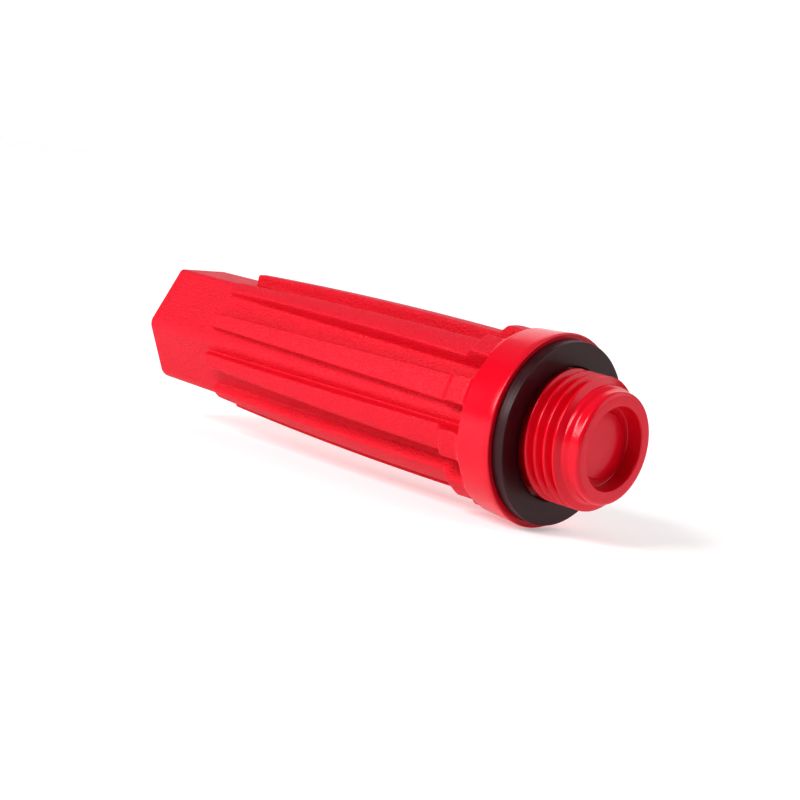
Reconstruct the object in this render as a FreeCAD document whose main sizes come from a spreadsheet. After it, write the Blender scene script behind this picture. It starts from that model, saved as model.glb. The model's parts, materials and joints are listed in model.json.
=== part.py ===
"""Long-handled screw plug, G 1/2, with its flat sealing washer.

The thread axis is X and the nose points to +X. The origin is on that axis, in the plane of the
collar's front face, against which the washer seals. Two flats of the hexagon are level (+Z up).
"""
import FreeCAD, Part
import math
import os

import Sketcher

doc = FreeCAD.newDocument("screw_plug")

# ---------------------------------------------------------------- driving dimensions (mm, degrees)
DIMENSIONS = [
    ("handle_length", 78.7, "sealing face to the rear end of the hexagon"),
    ("hex_flats", 18.3, "hexagon across flats at its rear end"),
    ("hex_draft", 1.2, "draft of each hexagon flat, growing towards the collar"),
    ("hex_corner", 0.9, "rounding of the hexagon's long corners"),
    ("rib_count", 10, "grip ribs round the handle"),
    ("rib_length", 66.0, "sealing face to the rear end of a rib"),
    ("rib_width_rear", 2.4, "rib width at its rear end"),
    ("rib_width_front", 4.7, "rib width where it meets the collar"),
    ("rib_radius_rear", 11.2, "outer radius of the ribs at their rear end"),
    ("rib_radius_front", 12.9, "outer radius of the ribs in front, at the foot of the step"),
    ("rib_crown", 790.0, "radius of the crowned line along a rib's back"),
    ("rib_nose", 0.5, "rounding of a rib's rear end, seen from the side"),
    ("step_foot", 12.3, "sealing face to the foot of the step on each rib"),
    ("step_top", 10.8, "sealing face to the top of the step"),
    ("step_radius", 14.35, "outer radius of the step"),
    ("collar_width", 6.64, "width of the collar"),
    ("collar_radius_rear", 14.76, "collar's outer radius at its rear edge"),
    ("collar_radius_front", 15.4, "collar's outer radius at the sealing face"),
    ("collar_edge", 0.25, "rounding of the collar's edges"),
    ("nose_length", 12.13, "sealing face to the end of the nose"),
    ("pilot_radius", 8.88, "plain pilot in front of the thread"),
    ("pilot_edge", 0.45, "rounding of the pilot's front edge"),
    ("thread_major", 20.955, "major diameter of the G 1/2 thread"),
    ("thread_pitch", 1.814, "pitch of the G 1/2 thread, 14 turns to the inch"),
    ("thread_depth", 1.162, "depth of the thread"),
    ("thread_start", 2.6, "sealing face to the start of the thread"),
    ("thread_end", 10.1, "sealing face to the end of the thread"),
    ("recess_radius", 6.65, "mouth of the shallow recess in the nose"),
    ("recess_floor", 6.49, "radius of the recess at its floor"),
    ("recess_depth", 2.64, "depth of the recess"),
    ("bore_radius_rear", 6.8, "mouth of the hollow in the handle"),
    ("bore_radius_front", 6.2, "hollow's radius at its blind end"),
    ("end_wall", 3.0, "wall between the hollow and the recess"),
    ("washer_radius", 14.5, "outer radius of the sealing washer"),
    ("washer_bore", 10.75, "bore radius of the sealing washer"),
    ("washer_thickness", 2.1, "thickness of the sealing washer"),
    ("washer_edge", 0.12, "rounding of the washer's edges"),
]

sheet = doc.addObject("Spreadsheet::Sheet", "Dims")
for row, (alias, value, meaning) in enumerate(DIMENSIONS, start=1):
    sheet.set(f"A{row}", alias)
    sheet.set(f"B{row}", str(value))
    sheet.set(f"C{row}", meaning)
    sheet.setAlias(f"B{row}", alias)
doc.recompute()


def plane_of(body, role):
    """The body's own origin plane or axis that has this role."""
    return next(f for f in body.Origin.OriginFeatures if f.Role == role)


def new_body(label):
    """A PartDesign body whose label names its file."""
    body = doc.addObject("PartDesign::Body", label)
    body.Label = label
    return body


def outline(body, name, role, corners, arcs=None, offset=None):
    """A closed sketch through corners, each a pair of expressions over the sheet.

    arcs maps the number of a side to (radius expression, bulge): that side is an arc, and bulge is
    the side of its chord, +1 left or -1 right, on which the arc lies.
    """
    arcs = arcs or {}
    sketch = body.newObject("Sketcher::SketchObject", name)
    sketch.AttachmentSupport = (plane_of(body, role), "")
    sketch.MapMode = "FlatFace"
    if offset:
        sketch.setExpression("AttachmentOffset.Base.z", offset)
    at = [
        FreeCAD.Vector(*(float(sketch.evalExpression(text)) for text in corner), 0)
        for corner in corners
    ]
    count = len(at)
    for side in range(count):
        start = at[side]
        end = at[(side + 1) % count]
        if side in arcs:
            radius_text, bulge = arcs[side]
            radius = float(sketch.evalExpression(radius_text))
            chord = end - start
            sag = radius - math.sqrt(radius**2 - (chord.Length / 2) ** 2)
            left = FreeCAD.Vector(-chord.y, chord.x, 0).normalize()
            sketch.addGeometry(Part.Arc(start, (start + end) / 2 + left * sag * bulge, end))
        else:
            sketch.addGeometry(Part.LineSegment(start, end))
    # an arc's first point is its start seen counter-clockwise, so find which end is which
    ends = []
    for side in range(count):
        begins_here = (sketch.getPoint(side, 1) - at[side]).Length < 1e-6
        ends.append((1, 2) if begins_here else (2, 1))
    for side in range(count):
        following = (side + 1) % count
        joint = Sketcher.Constraint("Coincident", side, ends[side][1], following, ends[following][0])
        sketch.addConstraint(joint)
    for side, corner in enumerate(corners):
        for kind, axis, text in (("DistanceX", -2, corner[0]), ("DistanceY", -1, corner[1])):
            if text == "0":
                pin = Sketcher.Constraint("PointOnObject", side, ends[side][0], axis)
                sketch.addConstraint(pin)
                continue
            value = float(sketch.evalExpression(text))
            place = Sketcher.Constraint(kind, -1, 1, side, ends[side][0], value)
            sketch.setExpression(f"Constraints[{sketch.addConstraint(place)}]", text)
    for side, (radius_text, _) in arcs.items():
        radius = float(sketch.evalExpression(radius_text))
        round_side = Sketcher.Constraint("Radius", side, radius)
        sketch.setExpression(f"Constraints[{sketch.addConstraint(round_side)}]", radius_text)
    doc.recompute()
    return sketch


def turned(body, kind, name, sketch):
    """A full turn of the sketch about the thread axis: Revolution adds, Groove cuts."""
    feature = body.newObject(f"PartDesign::{kind}", name)
    feature.Profile = sketch
    feature.ReferenceAxis = (sketch, ["H_Axis"])
    feature.Angle = 360
    before = body.Shape.Volume if kind == "Groove" else 0
    doc.recompute()
    if kind == "Groove":
        assert feature.Shape.Volume < before - 1, f"{name} cuts nothing"
    return feature


# ---------------------------------------------------------------- the moulding, one piece
plug = new_body("plug_body")

# the core: a hexagon with a flat up and a flat down, growing towards the collar
HEX_TURNS = range(6)
hexagon = outline(
    plug,
    "hex_end",
    "YZ_Plane",
    [
        (
            f"Dims.hex_flats / sqrt(3) * cos({60 * k} deg)",
            f"Dims.hex_flats / sqrt(3) * sin({60 * k} deg)" if k % 3 else "0",
        )
        for k in HEX_TURNS
    ],
    offset="-Dims.handle_length",
)
core = plug.newObject("PartDesign::Pad", "hex_core")
core.Profile = hexagon
core.setExpression("Length", "Dims.handle_length - Dims.collar_width / 2")
core.setExpression("TaperAngle", "Dims.hex_draft * 1 deg")
doc.recompute()

long_edges = [
    f"Edge{i + 1}"
    for i, edge in enumerate(core.Shape.Edges)
    if abs(edge.tangentAt(edge.FirstParameter).x) > 0.9
]
rounded = plug.newObject("PartDesign::Fillet", "hex_corners")
rounded.Base = (core, long_edges)
rounded.setExpression("Radius", "Dims.hex_corner")
doc.recompute()

# ribs: a tall wedge each, wider in front, then turned down together to the crowned line
blank = outline(
    plug,
    "rib_plan",
    "XY_Plane",
    [
        ("-Dims.rib_length", "-Dims.rib_width_rear / 2"),
        ("-Dims.collar_width / 2", "-Dims.rib_width_front / 2"),
        ("-Dims.collar_width / 2", "Dims.rib_width_front / 2"),
        ("-Dims.rib_length", "Dims.rib_width_rear / 2"),
    ],
)
rib = plug.newObject("PartDesign::Pad", "rib")
rib.Profile = blank
rib.setExpression("Length", "Dims.collar_radius_front")
doc.recompute()
ribs = plug.newObject("PartDesign::PolarPattern", "ribs")
ribs.Originals = [rib]
ribs.Axis = (plane_of(plug, "X_Axis"), [""])
ribs.Angle = 360
ribs.setExpression("Occurrences", "Dims.rib_count")
plug.Tip = ribs
doc.recompute()

crown_line = outline(
    plug,
    "rib_side",
    "XZ_Plane",
    [
        ("-Dims.rib_length", "Dims.rib_radius_rear - Dims.rib_nose"),
        ("-Dims.rib_length + Dims.rib_nose", "Dims.rib_radius_rear"),
        ("-Dims.step_foot", "Dims.rib_radius_front"),
        ("-Dims.step_top", "Dims.step_radius"),
        ("-Dims.collar_width / 2", "Dims.step_radius + 0.1"),
        ("-Dims.collar_width / 2", "Dims.collar_radius_front + 2"),
        ("-Dims.rib_length - 1", "Dims.collar_radius_front + 2"),
        ("-Dims.rib_length - 1", "Dims.rib_radius_rear - Dims.rib_nose"),
    ],
    arcs={0: ("Dims.rib_nose", 1), 1: ("Dims.rib_crown", 1)},
)
crowned = turned(plug, "Groove", "rib_crown", crown_line)

# collar and nose, turned in one
collar_nose = outline(
    plug,
    "collar_and_nose",
    "XZ_Plane",
    [
        ("-Dims.collar_width", "0"),
        ("-Dims.collar_width", "Dims.collar_radius_rear - Dims.collar_edge"),
        ("-Dims.collar_width + Dims.collar_edge", "Dims.collar_radius_rear"),
        ("-Dims.collar_edge", "Dims.collar_radius_front"),
        ("0", "Dims.collar_radius_front - Dims.collar_edge"),
        ("0", "Dims.thread_major / 2 - Dims.thread_depth"),
        ("Dims.thread_end", "Dims.thread_major / 2 - Dims.thread_depth"),
        ("Dims.thread_end + 0.5", "Dims.pilot_radius"),
        ("Dims.nose_length - Dims.pilot_edge", "Dims.pilot_radius"),
        ("Dims.nose_length", "Dims.pilot_radius - Dims.pilot_edge"),
        ("Dims.nose_length", "0"),
    ],
    arcs={
        1: ("Dims.collar_edge", 1),
        3: ("Dims.collar_edge", 1),
        8: ("Dims.pilot_edge", 1),
    },
)
nose = turned(plug, "Revolution", "nose", collar_nose)

# G 1/2 thread: 55 degree flanks, crest and root cut off by a sixth of the sharp height each
FLANK = "tan(27.5 deg)"
ROOT_HALF = f"(Dims.thread_pitch / 4 + Dims.thread_depth / 2 * {FLANK})"
CREST_HALF = f"(Dims.thread_pitch / 4 - Dims.thread_depth / 2 * {FLANK})"
MINOR = "(Dims.thread_major / 2 - Dims.thread_depth)"
tooth = outline(
    plug,
    "thread_tooth",
    "XZ_Plane",
    [
        (f"Dims.thread_start - {ROOT_HALF}", f"{MINOR} - 0.3"),
        (f"Dims.thread_start - {ROOT_HALF}", MINOR),
        (f"Dims.thread_start - {CREST_HALF}", "Dims.thread_major / 2"),
        (f"Dims.thread_start + {CREST_HALF}", "Dims.thread_major / 2"),
        (f"Dims.thread_start + {ROOT_HALF}", MINOR),
        (f"Dims.thread_start + {ROOT_HALF}", f"{MINOR} - 0.3"),
    ],
)
thread = plug.newObject("PartDesign::AdditiveHelix", "thread")
thread.Profile = tooth
thread.ReferenceAxis = (tooth, ["H_Axis"])
thread.Mode = 0
thread.setExpression("Pitch", "Dims.thread_pitch")
thread.setExpression("Height", f"Dims.thread_end - Dims.thread_start - {ROOT_HALF}")
thread.LeftHanded = False
doc.recompute()

# shallow recess in the nose, and the hollow that keeps the handle's walls even
recess = outline(
    plug,
    "recess_side",
    "XZ_Plane",
    [
        ("Dims.nose_length - Dims.recess_depth", "0"),
        ("Dims.nose_length - Dims.recess_depth", "Dims.recess_floor"),
        ("Dims.nose_length", "Dims.recess_radius"),
        ("Dims.nose_length + 1", "Dims.recess_radius"),
        ("Dims.nose_length + 1", "0"),
    ],
)
turned(plug, "Groove", "recess", recess)
hollow = outline(
    plug,
    "hollow_side",
    "XZ_Plane",
    [
        ("-Dims.handle_length - 1", "0"),
        ("-Dims.handle_length - 1", "Dims.bore_radius_rear"),
        ("-Dims.handle_length", "Dims.bore_radius_rear"),
        ("Dims.nose_length - Dims.recess_depth - Dims.end_wall", "Dims.bore_radius_front"),
        ("Dims.nose_length - Dims.recess_depth - Dims.end_wall", "0"),
    ],
)
turned(plug, "Groove", "hollow", hollow)

# ---------------------------------------------------------------- the sealing washer
washer = new_body("sealing_washer")
section = outline(
    washer,
    "washer_section",
    "XZ_Plane",
    [
        ("0", "Dims.washer_bore + Dims.washer_edge"),
        ("0", "Dims.washer_radius - Dims.washer_edge"),
        ("Dims.washer_edge", "Dims.washer_radius"),
        ("Dims.washer_thickness - Dims.washer_edge", "Dims.washer_radius"),
        ("Dims.washer_thickness", "Dims.washer_radius - Dims.washer_edge"),
        ("Dims.washer_thickness", "Dims.washer_bore + Dims.washer_edge"),
        ("Dims.washer_thickness - Dims.washer_edge", "Dims.washer_bore"),
        ("Dims.washer_edge", "Dims.washer_bore"),
    ],
    arcs={side: ("Dims.washer_edge", 1) for side in (1, 3, 5, 7)},
)
turned(washer, "Revolution", "washer", section)

# ---------------------------------------------------------------- test and write
for item in doc.Objects:
    faults = [state for state in item.State if state in ("Invalid", "Error")]
    assert not faults, f"{item.Label}: {faults}"

os.makedirs("parts", exist_ok=True)
for body in (plug, washer):
    shape = body.Shape
    assert not shape.isNull() and shape.isValid(), f"{body.Label} isn't a valid shape"
    assert len(shape.Solids) == 1, f"{body.Label} isn't one solid"
    shape.exportStep(f"parts/{body.Label}.step")
    box = shape.optimalBoundingBox()
    print(f"{body.Label}: {shape.Volume:.0f} mm3, X {box.XMin:.2f} to {box.XMax:.2f}")
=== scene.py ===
"""Looks of a long-handled screw plug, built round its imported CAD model.

The red moulding is two closed surfaces, grip and nose, which meet in the collar's front plane, and
the black sealing washer is a third. Every point is worked out in millimetres in the row frame: x
along the thread axis, the angle psi from +Y towards +Z round it.
"""
import json
import math
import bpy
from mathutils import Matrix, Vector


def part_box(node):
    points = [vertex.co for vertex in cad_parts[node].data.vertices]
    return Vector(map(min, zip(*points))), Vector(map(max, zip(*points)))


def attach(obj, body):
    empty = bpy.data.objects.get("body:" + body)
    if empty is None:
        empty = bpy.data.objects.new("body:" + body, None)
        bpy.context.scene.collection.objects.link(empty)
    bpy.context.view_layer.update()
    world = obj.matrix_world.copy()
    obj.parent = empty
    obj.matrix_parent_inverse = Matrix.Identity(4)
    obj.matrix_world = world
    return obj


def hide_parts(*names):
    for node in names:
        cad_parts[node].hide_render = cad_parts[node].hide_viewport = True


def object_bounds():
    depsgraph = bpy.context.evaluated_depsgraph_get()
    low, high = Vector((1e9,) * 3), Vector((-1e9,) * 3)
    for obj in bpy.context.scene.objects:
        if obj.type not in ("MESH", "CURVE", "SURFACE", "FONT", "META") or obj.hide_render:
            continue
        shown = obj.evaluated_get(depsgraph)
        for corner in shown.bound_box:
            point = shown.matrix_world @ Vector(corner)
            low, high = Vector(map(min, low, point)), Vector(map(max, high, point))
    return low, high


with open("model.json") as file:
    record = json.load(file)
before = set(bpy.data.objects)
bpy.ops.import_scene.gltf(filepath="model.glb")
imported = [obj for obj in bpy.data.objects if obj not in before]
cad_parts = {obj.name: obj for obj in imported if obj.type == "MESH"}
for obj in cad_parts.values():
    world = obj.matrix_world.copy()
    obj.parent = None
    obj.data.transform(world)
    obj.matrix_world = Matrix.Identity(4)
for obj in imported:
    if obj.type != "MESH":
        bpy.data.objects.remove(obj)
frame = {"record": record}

from types import SimpleNamespace

import bpy
import numpy as np
from mathutils import Matrix, Vector

bl_info = {
    "name": "Long-handled screw plug",
    "version": (1, 0, 0),
    "blender": (4, 5, 0),
    "location": "View3D > Sidebar > Screw plug",
    "description": "Builds a ribbed plastic screw plug with its sealing washer",
    "category": "Object",
}

MM = 0.001
CAD_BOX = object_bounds()
PLUG_LOW, PLUG_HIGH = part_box("plug_body")
WASHER_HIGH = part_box("sealing_washer")[1]
THREAD_MOUNT = next(m for m in frame["record"]["mounts"] if m["name"] == "thread")
PILOT_MOUNT = next(m for m in frame["record"]["mounts"] if m["name"] == "pilot")


# ---------------------------------------------------------------- what a user may change
def length(name, value, description):
    """A length property, kept in metres, whose default is given in millimetres."""
    return bpy.props.FloatProperty(
        name=name, description=description, default=value * MM, unit="LENGTH", precision=5
    )


def degrees(name, value, description):
    """An angle property whose default is given in degrees."""
    return bpy.props.FloatProperty(
        name=name, description=description, default=math.radians(value), unit="ROTATION"
    )


def watts(name, value, description):
    """A light's power."""
    return bpy.props.FloatProperty(name=name, description=description, default=value, unit="POWER")


def hex_colour(name, value, description):
    """A colour kept as the sRGB hex text that a designer writes."""
    return bpy.props.StringProperty(name=name, description=description, default=value)


class PLUG_PG_grip(bpy.types.PropertyGroup):
    """Sizes of the hexagon core, its ribs and the collar."""

    rear: length("Rear end", -PLUG_LOW.x / MM, "Sealing face to the hexagon's rear end")
    hex_half: length("Half across flats", 9.15, "Axis to a hexagon flat at the rear end")
    hex_draft: degrees("Draft", 1.2, "Slope of each flat, outwards to the collar")
    hex_corner: length("Hexagon corner", 0.9, "Mean rounding of the hexagon's long corners")
    corner_wear: length("Corner spread", 0.5, "How much the corners' rounding varies round it")
    end_edge: length("Rear edge", 0.25, "Rounding round the hexagon's rear end")
    rib_count: bpy.props.IntProperty(name="Ribs", description="Ribs round the grip", default=10)
    rib_rear: length("Rib's rear end", 65.1, "Sealing face to the rear end of the ribs")
    rib_half_rear: length("Rib half width, rear", 1.2, "Half the rib's width at its rear end")
    rib_half_front: length("Rib half width, front", 2.36, "Half the rib's width at the collar")
    rib_top_rear: length("Rib radius, rear", 11.2, "Axis to the rib's back at its rear end")
    rib_top_front: length("Rib radius, front", 12.9, "Axis to the rib's back before the step")
    rib_crown: length("Rib crown", 0.45, "Rise of the rib's back over a straight line")
    rib_edge: length("Rib edge", 0.32, "Rounding of the rib's two long edges")
    rib_foot: length("Rib foot", 0.28, "Fillet between the rib's sides and the core")
    rib_nose: length("Rib nose", 0.5, "Rounding of the rib's rear end")
    step_foot: length("Step foot", 12.3, "Sealing face to the foot of the step")
    step_top: length("Step top", 10.8, "Sealing face to the top of the step")
    step_radius: length("Step radius", 14.35, "Axis to the top of the step")
    step_edge: length("Step edge", 0.3, "Rounding at the step's foot and top")
    collar_width: length("Collar width", 6.64, "Width of the collar")
    collar_rear: length("Collar radius, rear", 14.76, "Collar's radius at its rear edge")
    collar_front: length("Collar radius, front", PLUG_HIGH.z / MM, "Radius at the sealing face")
    collar_edge: length("Collar edge", 0.25, "Rounding of the collar's edges")
    collar_foot: length("Collar foot", 0.7, "Fillet behind the collar")
    hollow_mouth: length("Hollow's mouth", 6.8, "Radius of the hollow at the rear end")
    hollow_end: length("Hollow's end", 6.2, "Radius of the hollow at its blind end")
    hollow_stop: length("Hollow's depth", 6.49, "Blind end, in front of the sealing face")


class PLUG_PG_nose(bpy.types.PropertyGroup):
    """Sizes of the threaded nose."""

    tip: length("Nose length", PLUG_HIGH.x / MM, "Sealing face to the end of the nose")
    major: length("Major radius", THREAD_MOUNT["dims"]["r_mm"], "Outer radius of the thread")
    pitch: length("Pitch", 1.814, "Advance of the thread in one turn")
    depth: length("Thread depth", 1.162, "Crest to root")
    crest_round: length("Crest rounding", 0.07, "Rounding of the thread's crests and roots")
    start: length("Thread start", 2.6, "Crest's place straight above the axis, first turn")
    last: length("Thread end", 9.35, "Crest's place where the last turn runs out")
    runout: length("Run-out", 0.5, "Advance over which the last turn fades into the pilot")
    ramp: length("Pilot ramp", 1.1, "Length over which the thread's root drops to the pilot")
    pilot: length("Pilot radius", PILOT_MOUNT["dims"]["r_mm"], "Plain end in front of the thread")
    pilot_edge: length("Pilot edge", 0.7, "Rounding of the nose's outer edge")
    mouth: length("Recess mouth", 6.65, "Radius of the recess at the nose's end")
    mouth_edge: length("Mouth edge", 0.22, "Rounding of the recess's edge")
    floor_radius: length("Recess floor", 6.49, "Radius of the recess at its floor")
    recess: length("Recess depth", 2.64, "Depth of the recess")
    disc: length("Core pin mark", 5.24, "Radius of the round mark on the recess floor")
    disc_step: length("Mark depth", 0.15, "How far the mark stands out of the floor")


class PLUG_PG_washer(bpy.types.PropertyGroup):
    """Sizes of the sealing washer."""

    outer: length("Outer radius", WASHER_HIGH.z / MM, "Washer's outer radius")
    bore: length("Bore radius", 10.6, "Washer's bore radius")
    thick: length("Thickness", WASHER_HIGH.x / MM, "Washer's thickness")
    edge: length("Edge", 0.14, "Rounding of the washer's four edges")


class PLUG_PG_finish(bpy.types.PropertyGroup):
    """Colours and surface of the two materials."""

    red: hex_colour("Plastic", "#DE1033", "Body colour of the polypropylene")
    red_deep: hex_colour("Plastic, deep", "#CE0C2B", "Darker streaks of the melt")
    black: hex_colour("Rubber", "#360B14", "Body colour of the rubber")
    black_worn: hex_colour("Rubber, dusty", "#4A2229", "Rubber where talc and dust stay on it")
    grain: length("Mould grain", 0.3, "Size of the spark-eroded grain on the core")
    grit: length("Rubber grit", 0.18, "Size of the rubber's surface grit")


class PLUG_PG_stage(bpy.types.PropertyGroup):
    """Camera and light."""

    azimuth: degrees("Azimuth", 39.74, "Camera's turn round the plug, from -Y towards +X")
    elevation: degrees("Elevation", 7.72, "Camera's height over the thread axis")
    roll: degrees("Roll", 10.51, "Camera's turn about its own line of sight")
    distance: length("Distance", 519.7, "Camera to the point that it looks at")
    lens: bpy.props.FloatProperty(name="Lens", description="Focal length, mm", default=146.56)
    above: watts("Softbox above", 0.7, "Power of the large softbox over the plug")
    behind: watts("Softbox behind", 3.6, "Power of the softbox behind the plug")
    front: watts("Softbox in front", 2.3, "Power of the softbox above and left of the camera")
    low: watts("Gloss lamp", 1.1, "Power of the small softbox left of the camera")
    right: watts("Softbox on the right", 2.6, "Power of the softbox to the right of the nose")
    room: bpy.props.FloatProperty(name="Room", description="Light of the dim room", default=0.08)


# ---------------------------------------------------------------- shapes
def values_of(group):
    """The group's lengths in millimetres and its other numbers as they are, as plain attributes."""
    out = SimpleNamespace()
    for name, prop in group.bl_rna.properties.items():
        if prop.type in ("FLOAT", "INT"):
            scale = MM if prop.unit == "LENGTH" else 1
            setattr(out, name, getattr(group, name) / scale)
    return out


def round_max(a, b, radius):
    """Common part of two distance fields, with its edge rounded to this radius."""
    corner = np.hypot(np.maximum(a + radius, 0), np.maximum(b + radius, 0))
    return np.minimum(np.maximum(a, b), -radius) + corner


def round_min(a, b, radius):
    """Union of two distance fields, with a fillet of this radius where they meet."""
    return -round_max(-a, -b, radius)


def soft_min(a, b, reach):
    """The smaller of two curves, blended by a parabola where they are less than reach apart."""
    near = np.maximum(reach - np.abs(a - b), 0) / reach
    return np.minimum(a, b) - near**2 * reach / 4


def soft_max(a, b, reach):
    """The larger of two curves, blended in the same way."""
    return -soft_min(-a, -b, reach)


def arc(start, end, count):
    """Angles from start to end in degrees, both ends included, in radians."""
    return np.radians(np.linspace(start, end, count))


def skin(name, grid, wrap_rows=False):
    """A closed mesh over grid[row, column], which closes on itself round its columns.

    Rows close too if wrap_rows, and otherwise the first and last rows are single points, the poles.
    Each face joins neighbours (row, column), (row, column + 1), (row + 1, column + 1) and
    (row + 1, column). The faces are turned round if the volume they enclose comes out negative.
    """
    rows, columns = grid.shape[:2]
    if not wrap_rows:
        ring_rows = rows - 2
        points = np.vstack([grid[:1, 0], grid[1:-1].reshape(-1, 3), grid[-1:, 0]])
        numbers = 1 + np.arange(ring_rows * columns).reshape(ring_rows, columns)
    else:
        points = grid.reshape(-1, 3)
        numbers = np.arange(rows * columns).reshape(rows, columns)
        numbers = np.vstack([numbers, numbers[:1]])
    beside = np.roll(numbers, -1, axis=1)
    quads = np.stack([numbers[:-1], beside[:-1], beside[1:], numbers[1:]], axis=-1).reshape(-1, 4)
    fans = np.zeros((0, 3), int)
    if not wrap_rows:
        first = np.stack([np.zeros(columns, int), beside[0], numbers[0]], axis=-1)
        last = np.stack([np.full(columns, len(points) - 1), numbers[-1], beside[-1]], axis=-1)
        fans = np.vstack([first, last])
    triangles = np.vstack([quads[:, :3], quads[:, [0, 2, 3]], fans])
    a, b, c = (points[triangles[:, k]] for k in range(3))
    if np.einsum("ij,ij->", a, np.cross(b, c)) < 0:
        quads, fans = quads[:, ::-1], fans[:, ::-1]
    mesh = bpy.data.meshes.new(name)
    mesh.vertices.add(len(points))
    mesh.vertices.foreach_set("co", (points * MM).astype(np.float32).ravel())
    corners = np.concatenate([quads.ravel(), fans.ravel()]).astype(np.int32)
    sizes = np.concatenate([np.full(len(quads), 4), np.full(len(fans), 3)])
    mesh.loops.add(len(corners))
    mesh.loops.foreach_set("vertex_index", corners)
    mesh.polygons.add(len(sizes))
    starts = np.concatenate([[0], np.cumsum(sizes)[:-1]]).astype(np.int32)
    mesh.polygons.foreach_set("loop_start", starts)
    mesh.polygons.foreach_set("use_smooth", np.ones(len(sizes), bool))
    mesh.update(calc_edges=True)
    assert not mesh.validate(), f"{name}'s mesh has faults"
    piece = bpy.data.objects.new(name, mesh)
    bpy.context.scene.collection.objects.link(piece)
    return piece


def turned(x, radius, psi):
    """Points at height radius over the axis: (x, radius cos psi, radius sin psi)."""
    x, radius, psi = np.broadcast_arrays(x, radius, psi)
    return np.stack([x, radius * np.cos(psi), radius * np.sin(psi)], axis=-1)


def paint(piece, name, grid_values, wrap_rows=False):
    """Stores one number per point of the piece's grid, for its material to read."""
    if wrap_rows:
        flat = grid_values.ravel()
    else:
        flat = np.concatenate([grid_values[:1, 0], grid_values[1:-1].ravel(), grid_values[-1:, 0]])
    attribute = piece.data.attributes.new(name, "FLOAT", "POINT")
    attribute.data.foreach_set("value", flat.astype(np.float32))


def rib_half(g, x):
    """Half a rib's width: straight from its rear end to the collar's middle."""
    share = (x + g.rib_rear) / (g.rib_rear - g.collar_width / 2)
    return g.rib_half_rear + (g.rib_half_front - g.rib_half_rear) * np.clip(share, 0, 1)


def rib_top(g, x):
    """Radius of a rib's back: a straight rise plus a parabola's crown, then a ramp to the step."""
    share = (x + g.rib_rear) / (g.rib_rear - g.step_foot)
    rise = g.rib_top_rear + (g.rib_top_front - g.rib_top_rear) * share
    back = rise + 4 * g.rib_crown * share * (1 - share) * (share > 0) * (share < 1)
    slope = (g.step_radius - g.rib_top_front) / (g.step_foot - g.step_top)
    ramp = g.rib_top_front + (x + g.step_foot) * slope
    top = soft_min(ramp, np.full_like(ramp, g.step_radius), g.step_edge)
    return soft_max(back, top, g.step_edge)


def hexagon_distance(g, x, radius, psi):
    """Distance outside the drafted hexagon, from its two nearest flats, corners rounded.

    The corners' rounding runs as a sine once round the plug, sharpest near the upper -Y corner.
    """
    half = g.hex_half + (x + g.rear) * np.tan(g.hex_draft)
    turn = np.mod(psi - np.pi / 6, np.pi / 3)
    nearest = np.minimum(turn, np.pi / 3 - turn)
    one = radius * np.cos(nearest) - half
    other = radius * np.cos(np.pi / 3 - nearest) - half
    sharpest = np.radians(100)
    rounding = g.hex_corner - g.corner_wear * np.cos(psi - sharpest)
    return round_max(one, other, rounding)


def rib_angle(g, psi):
    """Angle from the middle of the nearest rib; one rib stands straight up."""
    spacing = 2 * np.pi / g.rib_count
    return np.mod(psi - np.pi / 2 + spacing / 2, spacing) - spacing / 2


def grip_distance(g, x, radius, psi):
    """Distance outside the grip: the union of hexagon, ribs and collar, each a distance field.

    A rib is the common part of a slab either side of its middle plane, a cylinder that grows by
    rib_top, and the space in front of its rear end. The collar is a cone in front of its rear face.
    """
    core = round_max(hexagon_distance(g, x, radius, psi), -g.rear - x, g.end_edge)
    side = np.abs(radius * np.sin(rib_angle(g, psi))) - rib_half(g, x)
    rib = round_max(side, radius - rib_top(g, x), g.rib_edge)
    rib = round_max(rib, -g.rib_rear - x, g.rib_nose)
    body = round_min(core, rib, g.rib_foot)
    cone = g.collar_front + (g.collar_front - g.collar_rear) * x / g.collar_width
    collar = round_max(radius - cone, -g.collar_width - x, g.collar_edge)
    return round_min(body, collar, g.collar_foot)


def grip_radius(g, x, psi):
    """The grip's radius on each ray from the axis, by halving the interval 26 times."""
    low = np.full(np.broadcast(x, psi).shape, g.hollow_mouth)
    high = np.full_like(low, g.collar_front + 1)
    for _ in range(26):
        middle = (low + high) / 2
        outside = grip_distance(g, x, middle, psi) > 0
        high = np.where(outside, middle, high)
        low = np.where(outside, low, middle)
    return (low + high) / 2


def grip_stations(g):
    """Places along x for the grip's rings, close together where its section changes."""
    hair = 0.006  # half the distance between the two rings at a sharp step
    collar_back = -g.collar_width
    foot = collar_back - hair - g.collar_foot * (1 - np.sin(arc(90, 0, 8)))
    edge = collar_back + hair + g.collar_edge * (1 - np.cos(arc(90, 0, 5)))
    step = np.linspace(-g.step_top + 0.5, -g.step_foot - 0.5, 16)
    rib_back = -g.rib_rear
    nose = rib_back + hair + g.rib_nose * (1 - np.cos(arc(90, 0, 7)))
    nose_foot = rib_back - hair - g.rib_foot * (1 - np.sin(arc(90, 0, 5)))
    end = -g.rear + g.end_edge * (1 - np.cos(arc(90, 0, 5)))
    return np.concatenate([
        np.linspace(-g.collar_edge, collar_back + 0.4, 6),
        edge,
        foot,
        np.linspace(foot[-1], step[0], 7)[1:-1],
        step,
        np.linspace(step[-1], nose[0], 40)[1:-1],
        nose,
        nose_foot,
        np.linspace(nose_foot[-1], end[0], 12)[1:-1],
        end,
    ])


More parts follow.
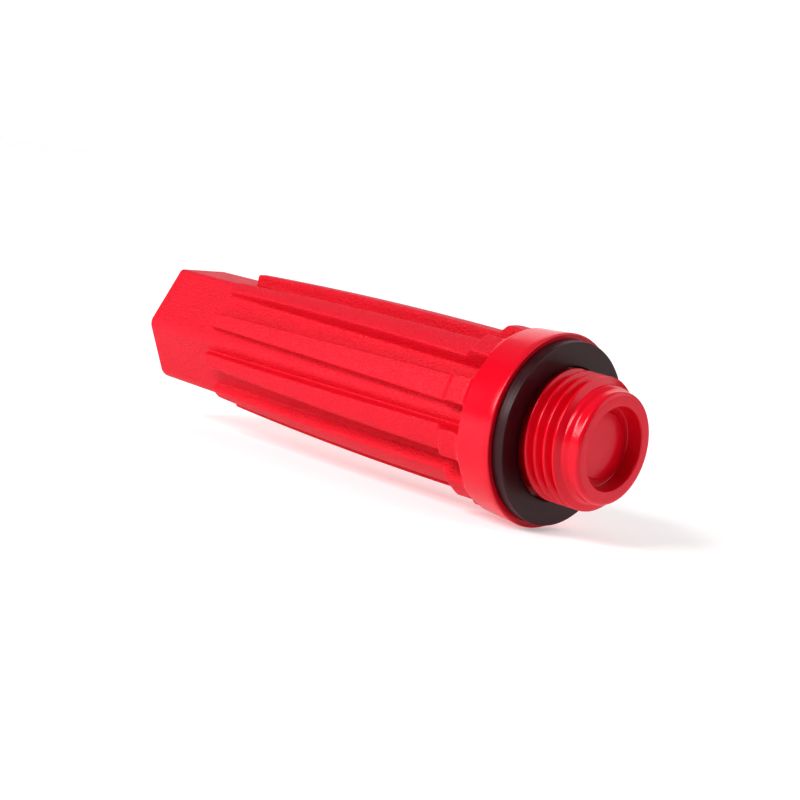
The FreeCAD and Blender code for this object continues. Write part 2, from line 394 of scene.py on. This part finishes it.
def grip_rays(g, x):
    """Angles of the rays at each station, from one rib's middle to the next, round the whole grip.

    Half a sector has five stretches: the rib's back, its edge, its side, the fillet at its foot,
    and the core out to the middle of the groove. Their bounds follow the rib's width and height.
    """
    half_sector = np.pi / g.rib_count
    x = np.minimum(x, -g.collar_width)
    half = rib_half(g, x)
    top = np.maximum(rib_top(g, x), g.rib_top_rear)
    # The core's rough radius: a groove's middle lies 6, 18 or 30 degrees from a flat's middle.
    mean_turn = math.radians(17)
    core = g.hex_half / math.cos(mean_turn) + (x + g.rear) * np.tan(g.hex_draft)
    bounds = np.stack([
        np.zeros_like(x),
        np.arcsin((half - g.rib_edge) / top),
        np.arcsin(half / (top - g.rib_edge)),
        np.arcsin(half / (core + g.rib_foot)),
        np.arcsin((half + g.rib_foot) / core),
        np.full_like(x, half_sector),
    ], axis=-1)
    steps = (7, 6, 4, 6, 7)
    shares = [np.arange(n) / n for n in steps]
    half_rays = np.concatenate([
        bounds[:, k, None] + (bounds[:, k + 1] - bounds[:, k])[:, None] * share
        for k, share in enumerate(shares)
    ], axis=1)
    other_half = 2 * half_sector - np.concatenate(
        [bounds[:, -1:], half_rays[:, :0:-1]], axis=1
    )
    sector = np.concatenate([half_rays, other_half], axis=1)
    starts = np.pi / 2 + 2 * half_sector * np.arange(g.rib_count)
    return (starts[None, :, None] + sector[:, None, :]).reshape(len(x), -1)


def grip_grid(g):
    """The grip's rings: front face, edge, grip, rear face, hollow, and back to the front face."""
    x = grip_stations(g)
    rays = grip_rays(g, x)
    radius = grip_radius(g, x[:, None], rays)
    outside = turned(x[:, None], radius, rays)
    first = rays[:1]
    last = rays[-1:]

    hollow_slope = (g.hollow_mouth - g.hollow_end) / (g.rear + g.hollow_stop)
    hollow_front = g.hollow_end + hollow_slope * g.hollow_stop
    reach = g.collar_front - g.collar_edge
    ring = np.concatenate([
        np.linspace(hollow_front, reach - 0.15, 8),
        [reach],
    ])[:, None]
    face = turned(0.0, ring, first)
    bend = arc(0, 90, 5)[1:-1, None]
    lip = turned(
        -g.collar_edge * (1 - np.cos(bend)), reach + g.collar_edge * np.sin(bend), first
    )
    lip_end = turned(-g.collar_edge, np.full((1, 1), g.collar_front), first)
    outside[:1] = lip_end

    rim = radius[-1:]
    mouth = g.hollow_mouth + g.end_edge
    share = np.array([0.04, 0.3, 0.6, 0.93, 1.0])[:, None]
    end_face = turned(-g.rear, rim + (mouth - rim) * share, last)
    bend = arc(0, 90, 5)[1:, None]
    mouth_lip = turned(
        -g.rear + g.end_edge * (1 - np.cos(bend)), mouth - g.end_edge * np.sin(bend), last
    )
    deep = np.linspace(-g.rear + g.end_edge, 0, 9)[1:-1, None]
    wall = turned(deep, g.hollow_mouth - hollow_slope * (deep + g.rear), last)
    return np.vstack([face, lip, outside, end_face, mouth_lip, wall])


def polish_of(g, grid):
    """1 on the polished collar, falling to 0 on the grained grip 0.4 to 1.2 mm behind it."""
    x = grid[..., 0]
    return np.clip((x + g.collar_width + 1.2) / 0.8, 0, 1)


def thread_radius(n, x, psi):
    """Radius of the threaded nose: a round body plus a tooth that climbs one pitch a turn.

    The tooth's height is a straight flank of 27.5 degrees to the radius, blended into the root and
    the crest by parabolas, and it fades where the crest passes the first and the last turn's end.
    In front of the last turn the root drops to the pilot along an S-curve, the ramp.
    """
    turn = np.mod(psi - np.pi / 2, 2 * np.pi) / (2 * np.pi)
    along = x - n.start - n.pitch * turn
    number = np.round(along / n.pitch)
    aside = np.abs(along - number * n.pitch)
    crest = x - (along - number * n.pitch)
    flank_angle = math.radians(27.5)
    flank = n.depth / 2 + (n.pitch / 4 - aside) / math.tan(flank_angle)
    tooth = soft_min(flank, np.full_like(flank, n.depth), n.crest_round * 2)
    tooth = soft_max(tooth, np.zeros_like(tooth), n.crest_round * 2)
    fade_out = np.clip((n.last + n.runout - crest) / n.runout, 0, 1)
    lead_in = 0.4
    fade_in = np.clip((crest - n.start + lead_in) / lead_in, 0, 1)
    fade = np.minimum(fade_out, fade_in)
    fade = fade * fade * (3 - 2 * fade)
    blend = np.clip((x - n.last) / n.ramp, 0, 1)
    blend = blend * blend * (3 - 2 * blend)
    root = (n.major - n.depth) * (1 - blend) + n.pilot * blend
    return root + tooth * fade


def nose_grid(n, g):
    """The nose's rings, from the hollow's blind end round the outside to the recess floor."""
    columns = 288
    psi = (np.arange(columns) * 2 * np.pi / columns)[None]
    slope = (g.hollow_mouth - g.hollow_end) / (g.rear + g.hollow_stop)
    inner = np.array([[g.hollow_stop, 0.0], [g.hollow_stop, 3.0], [g.hollow_stop, 5.6]])
    bend = arc(0, 90, 5)
    blind_corner = 0.4
    corner = np.stack([
        g.hollow_stop - blind_corner * (1 - np.cos(bend)),
        g.hollow_end - blind_corner + blind_corner * np.sin(bend),
    ], axis=-1)
    back = np.linspace(g.hollow_stop - 0.6, 0, 6)
    wall = np.stack([back, g.hollow_end + slope * (g.hollow_stop - back)], axis=-1)
    root = n.major - n.depth
    face = np.stack([np.zeros(3), np.linspace(wall[-1, 1], root, 5)[1:-1]], axis=-1)
    profile = np.vstack([inner, corner, wall, face])
    inside = turned(profile[:, :1], profile[:, 1:], psi)

    x = np.linspace(0, n.tip - n.pilot_edge, 190)[:, None]
    outside = turned(x, thread_radius(n, x, psi), psi)

    bend = arc(0, 90, 8)[1:]
    lip = np.stack([
        n.tip - n.pilot_edge * (1 - np.sin(bend)), n.pilot - n.pilot_edge * (1 - np.cos(bend))
    ], axis=-1)
    mouth = n.mouth + n.mouth_edge
    rim = np.linspace(n.pilot - n.pilot_edge - 0.08, mouth + 0.05, 4)
    rim = np.stack([np.full(4, n.tip), rim], axis=-1)
    bend = arc(0, 90, 5)
    inner_lip = np.stack([
        n.tip - n.mouth_edge * (1 - np.cos(bend)), mouth - n.mouth_edge * np.sin(bend)
    ], axis=-1)
    floor = n.tip - n.recess
    floor_fillet = 0.25
    share = np.linspace(0, 1, 6)[1:]
    down = np.stack([
        n.tip - n.mouth_edge - (n.recess - n.mouth_edge - floor_fillet) * share,
        n.mouth + (n.floor_radius - n.mouth) * share,
    ], axis=-1)
    bend = arc(0, 90, 6)[1:]
    foot = np.stack([
        floor + floor_fillet * (1 - np.sin(bend)),
        n.floor_radius - floor_fillet * (1 - np.cos(bend)),
    ], axis=-1)
    ramp = arc(0, 180, 7)
    mark = np.stack([
        floor + n.disc_step * (1 - np.cos(ramp)) / 2, n.disc + 0.12 - 0.22 * ramp / np.pi
    ], axis=-1)
    middle = np.array([3.4, 1.7, 0.0])
    middle = np.stack([np.full(3, floor + n.disc_step), middle], axis=-1)
    profile = np.vstack([lip, rim, inner_lip, down, foot, mark, middle])
    tip = turned(profile[:, :1], profile[:, 1:], psi)
    return np.vstack([inside, outside, tip])


def washer_grid(w):
    """The washer's section, a rectangle with round corners, turned round the axis.

    The corners reach the full outer radius. Between them the rim follows a half sine, 0.05 mm high,
    up to that radius, so it lies up to 0.025 mm low beside each corner.
    """
    columns = 256
    psi = (np.arange(columns) * 2 * np.pi / columns)[None]
    e = w.edge
    front = w.thick - 0.02  # just inside the CAD washer's face
    corners = (
        (e, w.bore + e, 180), (front - e, w.bore + e, 270),
        (front - e, w.outer - e, 0), (e, w.outer - e, 90),
    )
    section = []
    for x, radius, turn in corners:
        bend = arc(turn, turn + 90, 6)
        section.append(np.stack([x + e * np.cos(bend), radius + e * np.sin(bend)], axis=-1))
    rim = np.linspace(front - e, e, 7)[1:-1]
    rise = 0.05
    bulge = rise * np.sin(np.pi * (rim - e) / (front - 2 * e))
    rows_front = np.linspace(w.bore + e, w.outer - e, 9)[1:-1]
    rows_back = rows_front[::-1]
    bore = np.linspace(e, front - e, 5)[1:-1]
    profile = np.vstack([
        section[0],
        np.stack([bore, np.full(3, w.bore)], axis=-1),
        section[1],
        np.stack([np.full(7, front), rows_front], axis=-1),
        section[2],
        np.stack([rim, w.outer + bulge - rise], axis=-1),
        section[3],
        np.stack([np.zeros(7), rows_back], axis=-1),
    ])
    return turned(profile[:, :1], profile[:, 1:], psi)


# ---------------------------------------------------------------- materials
def linear(text):
    """Linear colour of an sRGB hex text such as #DE1033, as (red, green, blue, 1)."""
    parts = np.array([int(text[k:k + 2], 16) for k in (1, 3, 5)]) / 255
    curve = np.where(parts <= 0.04045, parts / 12.92, ((parts + 0.055) / 1.055) ** 2.4)
    return (*curve.tolist(), 1.0)


def add_node(tree, kind, inputs=None, **settings):
    """Adds a node, sets its settings, and links or sets each input given by name or number."""
    node = tree.nodes.new(kind)
    for name, value in settings.items():
        setattr(node, name, value)
    for socket, value in (inputs or {}).items():
        if isinstance(value, bpy.types.NodeSocket):
            tree.links.new(value, node.inputs[socket])
        else:
            node.inputs[socket].default_value = value
    return node


def new_material(name):
    """An empty node material and its tree, with its output node."""
    material = bpy.data.materials.new(name)
    material.use_nodes = True
    material.node_tree.nodes.clear()
    return material, material.node_tree, add_node(material.node_tree, "ShaderNodeOutputMaterial")


def moulded_polypropylene(finish):
    """Injection-moulded polypropylene in signal red.

    The melt leaves faint darker clouds a few millimetres across. The core and the ribs carry the
    fine grain of a spark-eroded mould, and where the polish attribute is 1 the mould was polished.
    """
    material, tree, output = new_material("moulded_polypropylene_red")
    place = add_node(tree, "ShaderNodeTexCoord").outputs["Object"]
    polish = add_node(tree, "ShaderNodeAttribute", attribute_name="polish").outputs["Fac"]
    cloud_size = 6 * MM
    clouds = add_node(tree, "ShaderNodeTexNoise", {
        "Vector": place, "Scale": 1 / cloud_size, "Detail": 4.0, "Roughness": 0.6,
    }).outputs["Fac"]
    colour = add_node(tree, "ShaderNodeMix", {
        0: clouds, 6: linear(finish.red), 7: linear(finish.red_deep),
    }, data_type="RGBA").outputs[2]
    grain = add_node(tree, "ShaderNodeTexNoise", {
        "Vector": place, "Scale": 1 / finish.grain, "Detail": 2.0, "Roughness": 0.55,
    }).outputs["Fac"]
    depth = add_node(tree, "ShaderNodeMapRange", {
        "Value": polish, "To Min": 1.0, "To Max": 0.06,
    }).outputs["Result"]
    relief = add_node(tree, "ShaderNodeBump", {
        "Height": grain, "Strength": depth, "Distance": 0.25 * MM,
    }).outputs["Normal"]
    roughness = add_node(tree, "ShaderNodeMapRange", {
        "Value": polish, "To Min": 0.5, "To Max": 0.24,
    }).outputs["Result"]
    shader = add_node(tree, "ShaderNodeBsdfPrincipled", {
        "Base Color": colour, "Roughness": roughness, "Normal": relief, "IOR": 1.49,
    })
    tree.links.new(shader.outputs["BSDF"], output.inputs["Surface"])
    return material


def moulded_rubber(finish):
    """Sheet rubber, brown-black: matt and slightly gritty, with a dusty bloom in patches."""
    material, tree, output = new_material("moulded_rubber_black")
    place = add_node(tree, "ShaderNodeTexCoord").outputs["Object"]
    patch_size = 3 * MM
    patches = add_node(tree, "ShaderNodeTexNoise", {
        "Vector": place, "Scale": 1 / patch_size, "Detail": 6.0, "Roughness": 0.65,
    }).outputs["Fac"]
    dust = add_node(tree, "ShaderNodeMapRange", {
        "Value": patches, "From Min": 0.45, "From Max": 0.8, "To Max": 0.5,
    }).outputs["Result"]
    colour = add_node(tree, "ShaderNodeMix", {
        0: dust, 6: linear(finish.black), 7: linear(finish.black_worn),
    }, data_type="RGBA").outputs[2]
    grit = add_node(tree, "ShaderNodeTexNoise", {
        "Vector": place, "Scale": 1 / finish.grit, "Detail": 3.0,
    }).outputs["Fac"]
    relief = add_node(tree, "ShaderNodeBump", {
        "Height": grit, "Strength": 0.35, "Distance": 0.015 * MM,
    }).outputs["Normal"]
    roughness = add_node(tree, "ShaderNodeMapRange", {
        "Value": patches, "To Min": 0.3, "To Max": 0.5,
    }).outputs["Result"]
    shader = add_node(tree, "ShaderNodeBsdfPrincipled", {
        "Base Color": colour, "Roughness": roughness, "Normal": relief, "IOR": 1.52,
    })
    tree.links.new(shader.outputs["BSDF"], output.inputs["Surface"])
    return material


def opal_acrylic():
    """The table: white acrylic lit from below, with the faintest unevenness in what it reflects."""
    material, tree, output = new_material("opal_acrylic")
    place = add_node(tree, "ShaderNodeTexCoord").outputs["Object"]
    cloud_size = 40 * MM
    clouds = add_node(tree, "ShaderNodeTexNoise", {
        "Vector": place, "Scale": 1 / cloud_size, "Detail": 3.0,
    }).outputs["Fac"]
    colour = add_node(tree, "ShaderNodeMix", {
        0: clouds, 6: linear("#E2E2E2"), 7: linear("#E6E6E6"),
    }, data_type="RGBA").outputs[2]
    shader = add_node(tree, "ShaderNodeBsdfPrincipled", {
        "Base Color": colour, "Roughness": 0.9, "IOR": 1.49,
        "Emission Color": (1.0, 1.0, 1.0, 1.0), "Emission Strength": 0.28,
    })
    tree.links.new(shader.outputs["BSDF"], output.inputs["Surface"])
    return material


# ---------------------------------------------------------------- the operators
class PLUG_OT_grip(bpy.types.Operator):
    """Build the hexagon, the ribs, the collar and the hollow behind them."""

    bl_idname = "plug.grip"
    bl_label = "Grip and collar"

    def execute(self, context):
        g = values_of(context.scene.plug_grip)
        grid = grip_grid(g)
        piece = skin("plug_grip", grid, wrap_rows=True)
        paint(piece, "polish", polish_of(g, grid), wrap_rows=True)
        piece.data.materials.append(moulded_polypropylene(context.scene.plug_finish))
        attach(piece, "plug")
        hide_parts("plug_body")
        return {"FINISHED"}


class PLUG_OT_nose(bpy.types.Operator):
    """Build the neck, the thread, the pilot and the recess."""

    bl_idname = "plug.nose"
    bl_label = "Threaded nose"

    def execute(self, context):
        grid = nose_grid(values_of(context.scene.plug_nose), values_of(context.scene.plug_grip))
        piece = skin("plug_nose", grid)
        paint(piece, "polish", np.full(grid.shape[:2], 1.0))
        piece.data.materials.append(bpy.data.materials["moulded_polypropylene_red"])
        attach(piece, "plug")
        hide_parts("plug_body")
        return {"FINISHED"}


class PLUG_OT_washer(bpy.types.Operator):
    """Build the flat rubber washer on the neck."""

    bl_idname = "plug.washer"
    bl_label = "Sealing washer"

    def execute(self, context):
        grid = washer_grid(values_of(context.scene.plug_washer))
        piece = skin("rubber_washer", grid, wrap_rows=True)
        piece.data.materials.append(moulded_rubber(context.scene.plug_finish))
        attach(piece, "washer")
        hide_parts("sealing_washer")
        return {"FINISHED"}


def softbox(name, place, target, size, power):
    """A square area light at place, in metres, that faces target; the camera doesn't see it."""
    data = bpy.data.lights.new(name, "AREA")
    data.size = size
    data.energy = power
    lamp = bpy.data.objects.new(name, data)
    lamp.location = place
    lamp.rotation_mode = "QUATERNION"
    lamp.rotation_quaternion = (Vector(place) - Vector(target)).to_track_quat("Z", "Y")
    lamp.visible_camera = False
    bpy.context.scene.collection.objects.link(lamp)
    return lamp


class PLUG_OT_stage(bpy.types.Operator):
    """Set out the pale floor, the soft lights and the camera."""

    bl_idname = "plug.stage"
    bl_label = "Floor, lights and camera"

    def execute(self, context):
        scene = context.scene
        stage = scene.plug_stage
        low, high = CAD_BOX
        middle = (low + high) / 2

        floor_radius = 0.6
        rim = arc(0, 360, 129)[:-1]
        ring = [(floor_radius * math.cos(a), floor_radius * math.sin(a), low.z) for a in rim]
        mesh = bpy.data.meshes.new("floor")
        mesh.from_pydata(ring, [], [tuple(range(len(ring)))])
        floor = bpy.data.objects.new("floor", mesh)
        floor.data.materials.append(opal_acrylic())
        scene.collection.objects.link(floor)

        softbox("softbox_above", (-0.15, 0.20, 0.60), middle, 1.2, stage.above)
        softbox("softbox_behind", (-0.75, 0.85, 0.25), middle, 1.2, stage.behind)
        softbox("softbox_front", (-0.08, -0.52, 0.40), middle, 0.26, stage.front)
        softbox("softbox_low", (-0.29, -0.54, 0.23), middle, 0.20, stage.low)
        softbox("softbox_right", (0.45, 0.45, 0.40), middle, 0.80, stage.right)

        world = bpy.data.worlds.new("white_room")
        world.use_nodes = True
        tree = world.node_tree
        tree.nodes.clear()
        seen = add_node(tree, "ShaderNodeLightPath").outputs["Is Camera Ray"]
        strength = add_node(tree, "ShaderNodeMapRange", {
            "Value": seen, "To Min": stage.room, "To Max": 1.0,
        }).outputs["Result"]
        glow = add_node(tree, "ShaderNodeBackground", {
            "Color": (1.0, 1.0, 1.0, 1.0), "Strength": strength,
        })
        output = add_node(tree, "ShaderNodeOutputWorld")
        tree.links.new(glow.outputs["Background"], output.inputs["Surface"])
        scene.world = world

        turn, rise = stage.azimuth, stage.elevation
        back = Vector((
            math.sin(turn) * math.cos(rise), -math.cos(turn) * math.cos(rise), math.sin(rise)
        ))
        aim = Vector((-30.8, -0.4, -2.22)) * MM  # near the middle of the grip
        data = bpy.data.cameras.new("camera")
        data.sensor_width = 36
        data.lens = stage.lens
        data.clip_start = 0.01
        data.clip_end = 20
        camera = bpy.data.objects.new("camera", data)
        level = Vector((math.cos(turn), math.sin(turn), 0))
        above = back.cross(level)
        axes = Matrix((level, above, back)).transposed() @ Matrix.Rotation(stage.roll, 3, "Z")
        camera.matrix_world = Matrix.Translation(aim + back * stage.distance) @ axes.to_4x4()
        scene.collection.objects.link(camera)
        scene.camera = camera
        scene.view_settings.view_transform = "Standard"
        scene.view_settings.look = "High Contrast"
        return {"FINISHED"}


class PLUG_PT_panel(bpy.types.Panel):
    """Lists the plug's steps in the sidebar."""

    bl_idname = "PLUG_PT_panel"
    bl_label = "Screw plug"
    bl_space_type = "VIEW_3D"
    bl_region_type = "UI"
    bl_category = "Screw plug"

    def draw(self, context):
        for step in STEPS:
            self.layout.operator(step.bl_idname)


GROUPS = {
    "plug_grip": PLUG_PG_grip,
    "plug_nose": PLUG_PG_nose,
    "plug_washer": PLUG_PG_washer,
    "plug_finish": PLUG_PG_finish,
    "plug_stage": PLUG_PG_stage,
}
STEPS = (PLUG_OT_grip, PLUG_OT_nose, PLUG_OT_washer, PLUG_OT_stage)
CLASSES = (*GROUPS.values(), *STEPS, PLUG_PT_panel)


def register():
    """Registers the classes and hangs each group of properties on the scene."""
    for cls in CLASSES:
        bpy.utils.register_class(cls)
    for name, group in GROUPS.items():
        setattr(bpy.types.Scene, name, bpy.props.PointerProperty(type=group))


def unregister():
    """Takes the groups and the classes away again."""
    for name in GROUPS:
        delattr(bpy.types.Scene, name)
    for cls in reversed(CLASSES):
        bpy.utils.unregister_class(cls)


def main():
    register()
    bpy.ops.plug.grip()
    bpy.ops.plug.nose()
    bpy.ops.plug.washer()
    bpy.ops.plug.stage()


if __name__ == "__main__":
    main()
